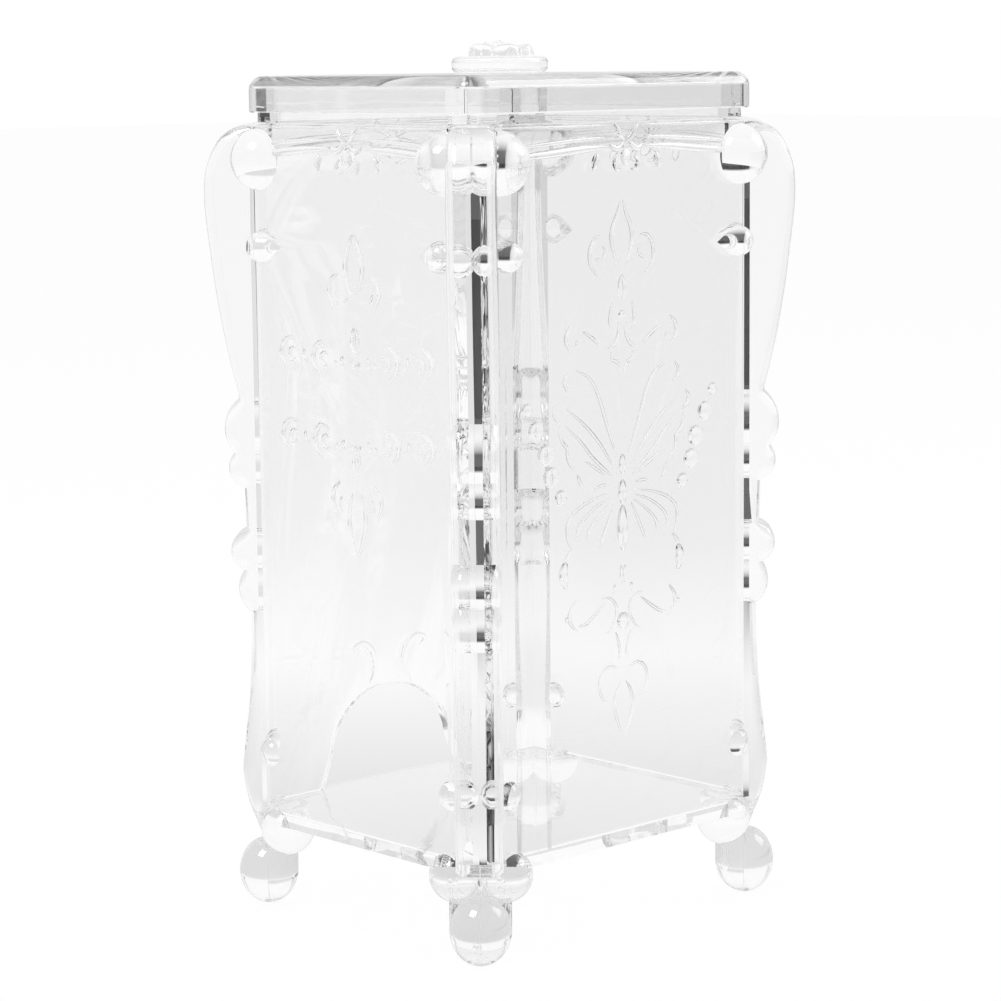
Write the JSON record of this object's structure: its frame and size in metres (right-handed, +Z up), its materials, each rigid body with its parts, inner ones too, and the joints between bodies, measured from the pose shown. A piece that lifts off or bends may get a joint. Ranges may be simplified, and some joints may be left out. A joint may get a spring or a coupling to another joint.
{
  "type": "cotton pad holder",
  "caption": "Tall clear plastic holder for a stack of round cotton pads, with scalloped corner fins, ball feet, a dispensing arch at the back and a lift-off lid with a rose knob.",
  "frame": {"origin": "centre of the four feet on the ground", "axes": "+Z up, +X along the wide front wall to the right as one faces it, -Y out of the front wall with the butterfly, +Y out of the back wall with the dispensing arch"},
  "size_m": [0.0914, 0.081, 0.168],
  "materials": {
    "wall_plastic": "clear polystyrene, injection moulded in a polished mould, water clear with bright edges",
    "floor_plastic": "clear polystyrene, injection moulded, polished faces and slightly greyer cut edges",
    "lid_plastic": "clear polystyrene, injection moulded, polished, with faint flow lines near the gate"
  },
  "bodies": {
    "holder": {"front_panel": "wall_plastic", "back_panel": "wall_plastic", "left_panel": "wall_plastic", "right_panel": "wall_plastic", "floor_plate": "floor_plastic", "foot_core_front_left": "floor_plastic", "foot_core_front_right": "floor_plastic", "foot_core_back_left": "floor_plastic", "foot_core_back_right": "floor_plastic"},
    "lid": {"lid_cap": "lid_plastic", "plug_ring": "lid_plastic", "knob_disc": "lid_plastic", "knob_rose": "lid_plastic"}
  },
  "joints": [
    {"name": "lid_lift", "type": "slide", "parent": "holder", "child": "lid", "axis": [0, 0, 1], "range_m": [0, 0.06]}
  ]
}
